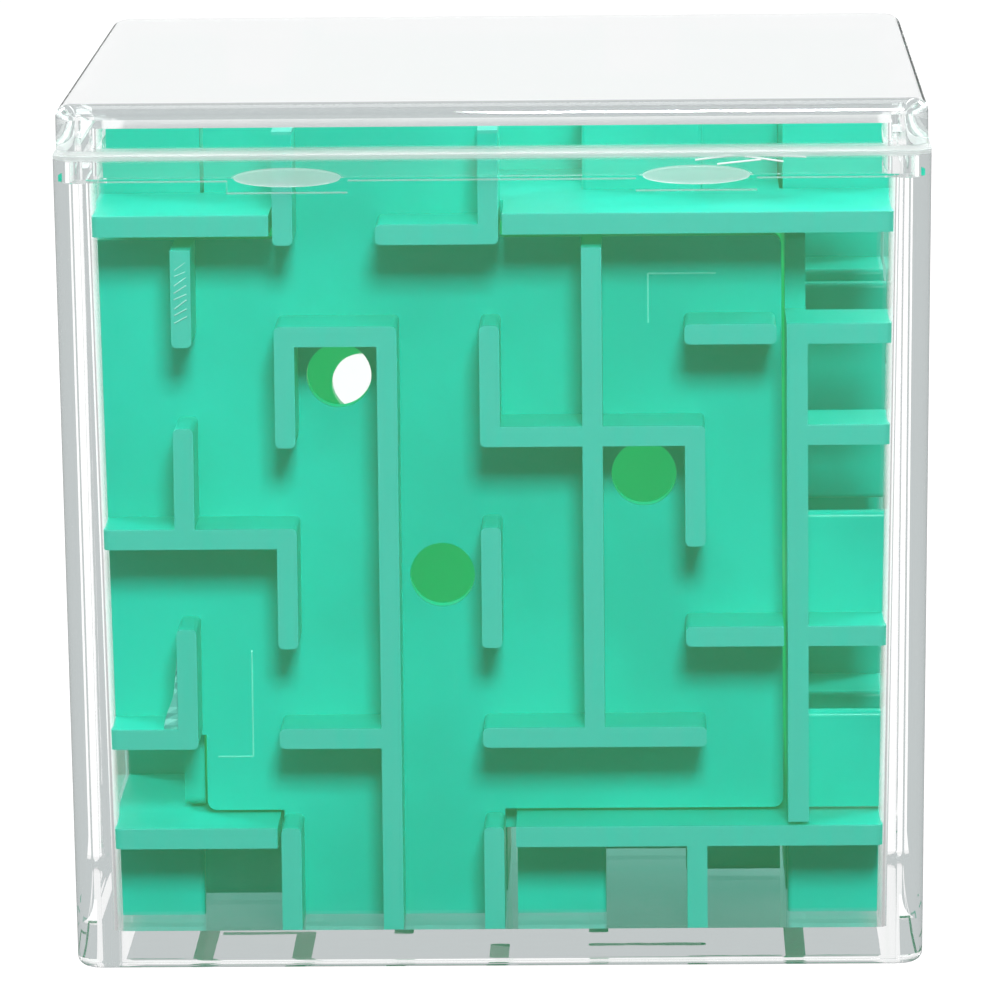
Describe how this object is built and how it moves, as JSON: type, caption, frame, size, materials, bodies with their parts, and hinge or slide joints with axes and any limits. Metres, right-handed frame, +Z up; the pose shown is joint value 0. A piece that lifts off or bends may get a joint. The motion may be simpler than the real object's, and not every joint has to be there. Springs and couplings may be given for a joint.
{
  "type": "tilt maze game",
  "caption": "Hand-held clear cube ball maze: interlocking green maze boards in a clear snap-lid box, with a loose steel ball.",
  "frame": {"origin": "centre of the box's underside", "axes": "+Z up towards the lid, -Y towards the front board, +X to the right seen from the front"},
  "size_m": [0.08, 0.08, 0.0804],
  "materials": {
    "clear_plastic": "clear polished polystyrene",
    "green_plastic": "satin moulded, slightly translucent",
    "steel": "polished bearing ball"
  },
  "bodies": {
    "box": {"clear_box": "clear_plastic", "maze_board_front": "green_plastic", "maze_board_back": "green_plastic", "maze_board_left": "green_plastic", "maze_board_right": "green_plastic", "maze_board_top": "green_plastic", "maze_board_bottom": "green_plastic"},
    "lid": {"clear_lid": "clear_plastic"},
    "ball": {"steel_ball": "steel"}
  },
  "joints": [
    {"name": "lid_lift", "type": "slide", "parent": "box", "child": "lid", "axis": [0, 0, 1], "range_m": [0, 0.04]},
    {"name": "ball_roll", "type": "slide", "parent": "box", "child": "ball", "axis": [1, 0, 0], "range_m": [-0.0055, 0.0055]}
  ]
}
